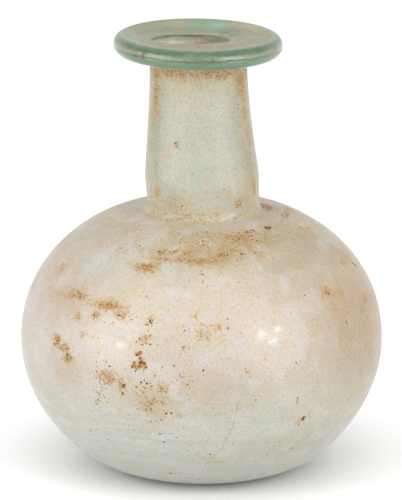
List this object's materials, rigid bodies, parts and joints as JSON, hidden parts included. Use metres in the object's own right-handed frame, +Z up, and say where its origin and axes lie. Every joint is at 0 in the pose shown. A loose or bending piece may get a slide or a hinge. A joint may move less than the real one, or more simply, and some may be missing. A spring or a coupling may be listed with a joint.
{
  "type": "glass perfume flask",
  "caption": "Free-blown glass perfume flask with a round body, a flattened base, a neck that narrows upwards and a broad rolled rim, open at the mouth and empty, weathered and iridescent.",
  "frame": {"origin": "middle of the underside, on the surface that the flask stands on", "axes": "+Z up through the neck; -Y faces the picture's camera; +X is the side that the rim slopes down to"},
  "size_m": [0.0896, 0.0896, 0.1089],
  "materials": {
    "weathered_glass": "pale green glass under a thin matt cream film with soft iridescence, glossy dark green at the rim, with brown and orange soil stains"
  },
  "bodies": {
    "root": {"flask": "weathered_glass"}
  },
  "joints": []
}
